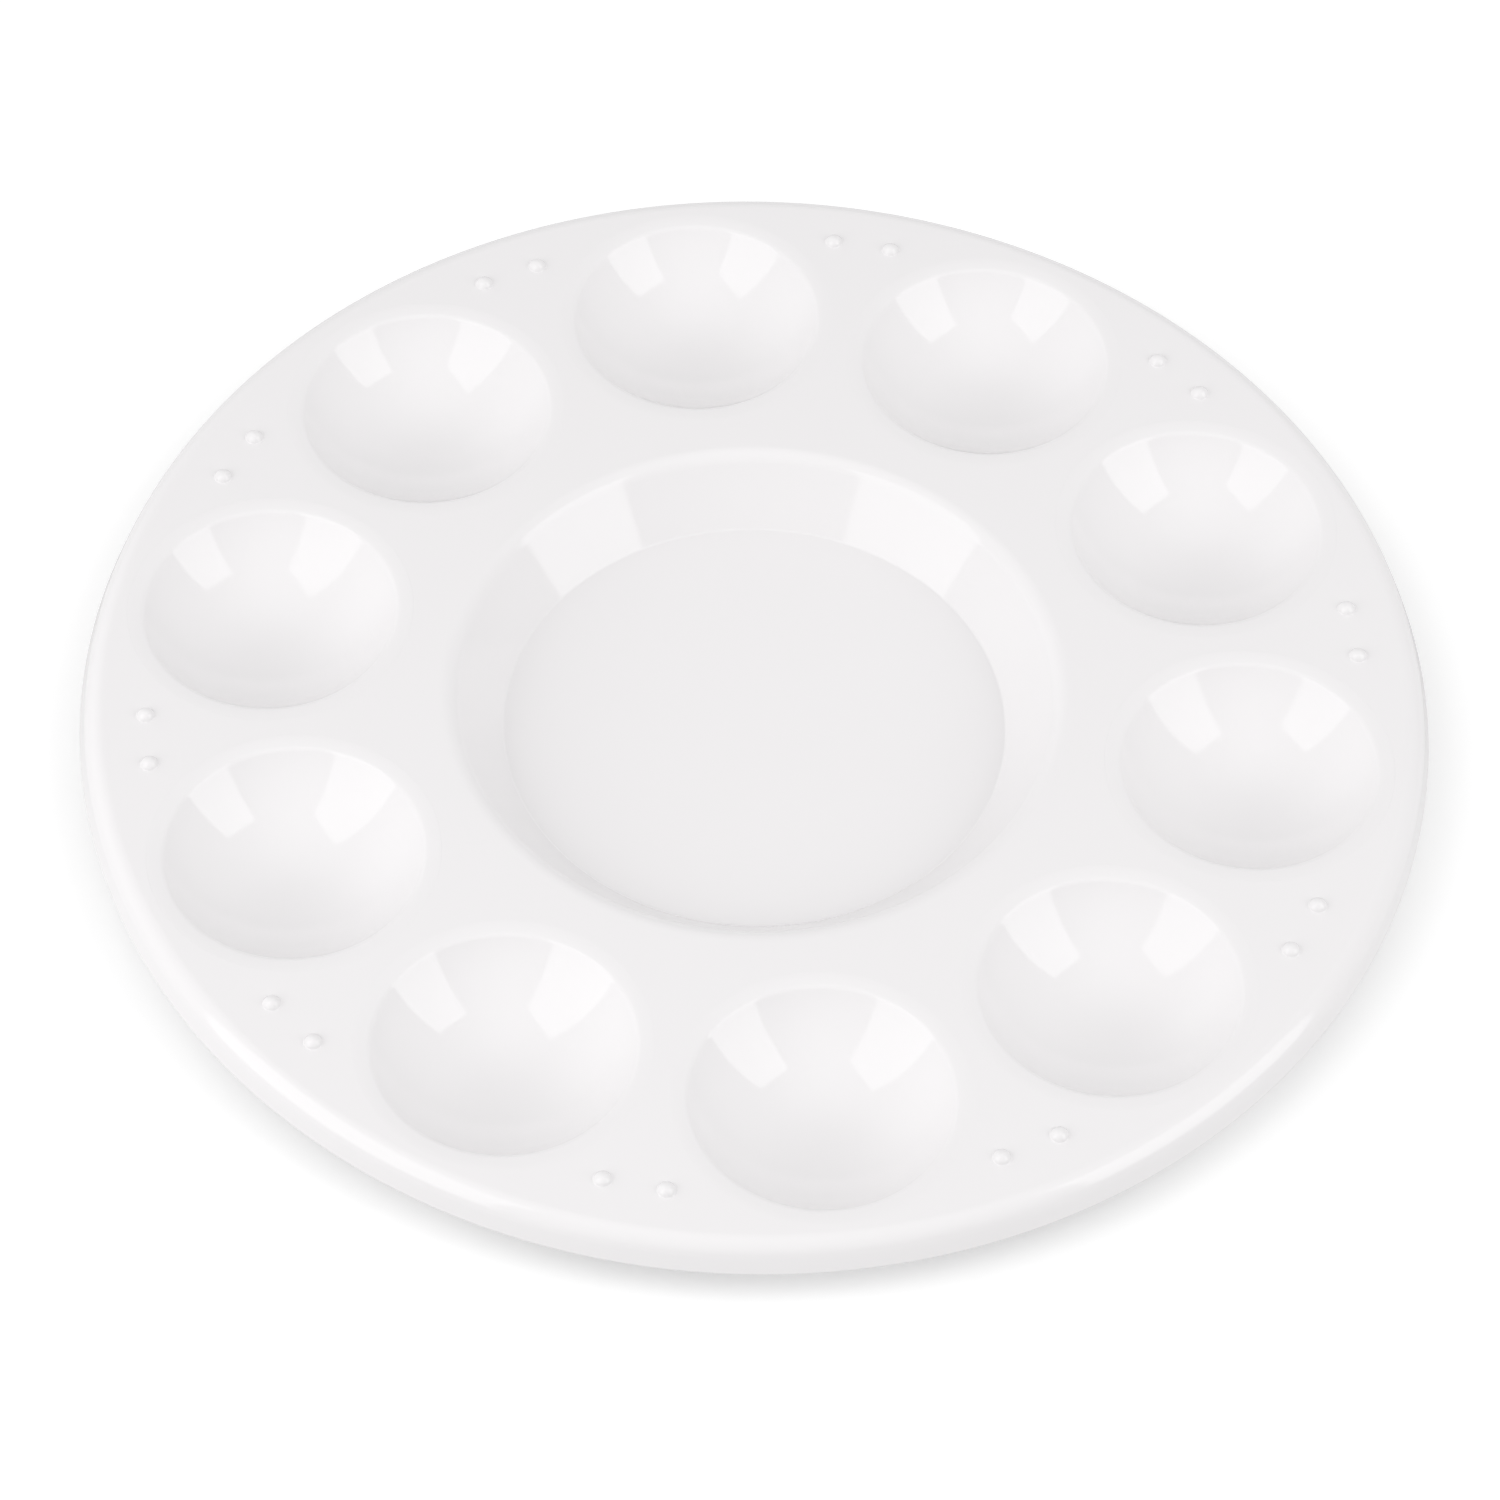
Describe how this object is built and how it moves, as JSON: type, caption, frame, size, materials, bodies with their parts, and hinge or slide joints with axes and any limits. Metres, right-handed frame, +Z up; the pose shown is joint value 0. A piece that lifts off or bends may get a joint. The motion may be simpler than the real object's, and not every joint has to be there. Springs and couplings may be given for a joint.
{
  "type": "mixing palette",
  "caption": "Round glossy white plastic paint palette: a ring of bowl-shaped paint wells round a wide, flat-floored mixing well, with a short flared skirt and small marker pips at the rim.",
  "frame": {"origin": "centre of the flat resting face under the mixing well, on the plane the palette rests on", "axes": "+Z up along the palette's round axis, -Y towards the user through the middle of the first paint well, +X to the user's right"},
  "size_m": [0.171, 0.171, 0.0099],
  "materials": {
    "white_plastic": "smooth high-gloss moulded white"
  },
  "bodies": {
    "root": {"deck_plate": "white_plastic", "rim_skirt": "white_plastic", "mixing_well": "white_plastic", "paint_well_01": "white_plastic", "paint_well_02": "white_plastic", "paint_well_03": "white_plastic", "paint_well_04": "white_plastic", "paint_well_05": "white_plastic", "paint_well_06": "white_plastic", "paint_well_07": "white_plastic", "paint_well_08": "white_plastic", "paint_well_09": "white_plastic", "paint_well_10": "white_plastic", "pip_pair_01": "white_plastic", "pip_pair_02": "white_plastic", "pip_pair_03": "white_plastic", "pip_pair_04": "white_plastic", "pip_pair_05": "white_plastic", "pip_pair_06": "white_plastic", "pip_pair_07": "white_plastic", "pip_pair_08": "white_plastic", "pip_pair_09": "white_plastic", "pip_pair_10": "white_plastic"}
  },
  "joints": []
}
